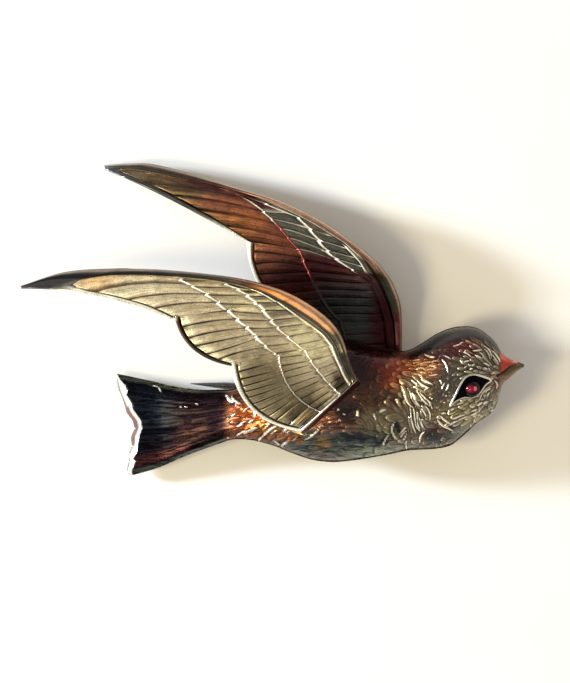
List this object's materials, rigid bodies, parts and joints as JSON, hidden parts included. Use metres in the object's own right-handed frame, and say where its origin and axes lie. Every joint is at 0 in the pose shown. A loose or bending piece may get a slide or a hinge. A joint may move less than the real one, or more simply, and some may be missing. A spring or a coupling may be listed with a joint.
{
  "type": "bird brooch",
  "caption": "Cast metal bird in flight with translucent enamel over feather relief, a fan tail, two raised dished wings, a glass eye and a bar pin across its hollow back.",
  "frame": {"origin": "on the surface that the brooch lies on, below the middle of its outline seen from the front", "axes": "+X from the tail towards the beak, +Y towards the raised wings, +Z out of the modelled front"},
  "size_m": [0.0654, 0.0407, 0.014],
  "materials": {
    "body_enamel": "glossy translucent enamel over cast white metal",
    "near_wing_enamel": "glossy translucent enamel over cast white metal",
    "far_wing_enamel": "glossy translucent enamel over cast white metal",
    "eye_glass": "polished red glass cabochon",
    "pin_steel": "plain plated steel"
  },
  "bodies": {
    "root": {"body": "body_enamel", "near_wing": "near_wing_enamel", "far_wing": "far_wing_enamel", "eye": "eye_glass", "pin": "pin_steel"}
  },
  "joints": []
}
